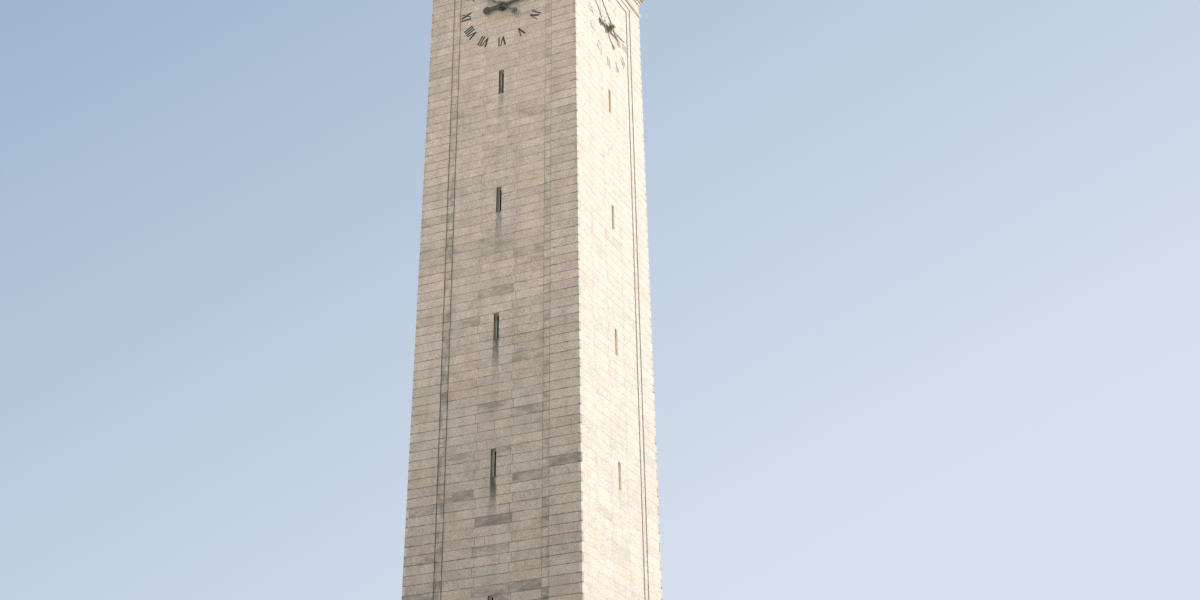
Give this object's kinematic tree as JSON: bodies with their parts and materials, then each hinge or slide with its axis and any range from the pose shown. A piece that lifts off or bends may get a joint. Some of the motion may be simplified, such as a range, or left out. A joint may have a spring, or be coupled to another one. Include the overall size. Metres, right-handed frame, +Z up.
{
  "type": "1:10 scale model clock tower",
  "caption": "Square tapering granite clock tower with sunk panels, slot windows, stone dials with turning hands, an arcaded belfry, corner obelisks and a hollow pyramid spire.",
  "frame": {"origin": "centre of the tower's square footprint, on the ground", "axes": "+Z up, the front face with the door looks along -Y, the right face along +X"},
  "size_m": [1.1296, 1.206, 9.357],
  "materials": {
    "granite": "honed pale granite ashlar, weathered",
    "concrete": "plain concrete floor",
    "bronze": "bronze with green patina",
    "glass": "dark window glass",
    "lamp_glass": "milky lantern glass"
  },
  "bodies": {
    "tower": {"base_plinth": "granite", "entrance_steps": "granite", "front_right_pier": "granite", "back_right_pier": "granite", "back_left_pier": "granite", "front_left_pier": "granite", "front_wall": "granite", "right_wall": "granite", "back_wall": "granite", "left_wall": "granite", "upper_floors": "concrete", "slot_window_frames": "bronze", "slot_window_glass": "glass", "door_surround": "granite", "door_leaf_left": "bronze", "door_leaf_right": "bronze", "door_transom": "bronze", "dial_numerals": "bronze", "dial_centres": "bronze", "shaft_cornice": "granite", "neck_moulding": "granite", "observation_deck_floor": "concrete", "belfry_corner_piers": "granite", "belfry_columns": "granite", "front_arcade": "granite", "right_arcade": "granite", "back_arcade": "granite", "left_arcade": "granite", "belfry_balustrades": "granite", "belfry_entablature": "granite", "belfry_ceiling": "concrete", "belfry_roof": "granite", "roof_parapet": "granite", "corner_obelisks": "granite", "obelisk_flames": "bronze", "spire_base": "granite", "spire": "granite", "lantern_cage": "bronze", "lantern_lamp": "lamp_glass", "lantern_roof_and_finial": "bronze"},
    "front_minute_hand_body": {"front_minute_hand": "bronze"},
    "right_minute_hand_body": {"right_minute_hand": "bronze"},
    "back_minute_hand_body": {"back_minute_hand": "bronze"},
    "left_minute_hand_body": {"left_minute_hand": "bronze"},
    "front_hour_hand_body": {"front_hour_hand": "bronze"},
    "right_hour_hand_body": {"right_hour_hand": "bronze"},
    "back_hour_hand_body": {"back_hour_hand": "bronze"},
    "left_hour_hand_body": {"left_hour_hand": "bronze"}
  },
  "joints": [
    {"name": "front_minute_turn", "type": "hinge", "parent": "tower", "child": "front_minute_hand_body", "pos_m": [0, -0.45902, 5.616], "axis": [0, 1, 0], "continuous": true},
    {"name": "front_hour_turn", "type": "hinge", "parent": "tower", "child": "front_hour_hand_body", "pos_m": [0, -0.45902, 5.616], "axis": [0, 1, 0], "continuous": true},
    {"name": "right_minute_turn", "type": "hinge", "parent": "tower", "child": "right_minute_hand_body", "pos_m": [0.45902, 0, 5.616], "axis": [-1, 0, 0], "continuous": true},
    {"name": "right_hour_turn", "type": "hinge", "parent": "tower", "child": "right_hour_hand_body", "pos_m": [0.45902, 0, 5.616], "axis": [-1, 0, 0], "continuous": true},
    {"name": "back_minute_turn", "type": "hinge", "parent": "tower", "child": "back_minute_hand_body", "pos_m": [0, 0.45902, 5.616], "axis": [0, -1, 0], "continuous": true},
    {"name": "back_hour_turn", "type": "hinge", "parent": "tower", "child": "back_hour_hand_body", "pos_m": [0, 0.45902, 5.616], "axis": [0, -1, 0], "continuous": true},
    {"name": "left_minute_turn", "type": "hinge", "parent": "tower", "child": "left_minute_hand_body", "pos_m": [-0.45902, 0, 5.616], "axis": [1, 0, 0], "continuous": true},
    {"name": "left_hour_turn", "type": "hinge", "parent": "tower", "child": "left_hour_hand_body", "pos_m": [-0.45902, 0, 5.616], "axis": [1, 0, 0], "continuous": true}
  ],
  "couplings": [
    {"joint": "front_hour_turn", "follows": "front_minute_turn", "ratio": 0.083333},
    {"joint": "right_minute_turn", "follows": "front_minute_turn", "ratio": 1},
    {"joint": "right_hour_turn", "follows": "front_minute_turn", "ratio": 0.083333},
    {"joint": "back_minute_turn", "follows": "front_minute_turn", "ratio": 1},
    {"joint": "back_hour_turn", "follows": "front_minute_turn", "ratio": 0.083333},
    {"joint": "left_minute_turn", "follows": "front_minute_turn", "ratio": 1},
    {"joint": "left_hour_turn", "follows": "front_minute_turn", "ratio": 0.083333}
  ]
}
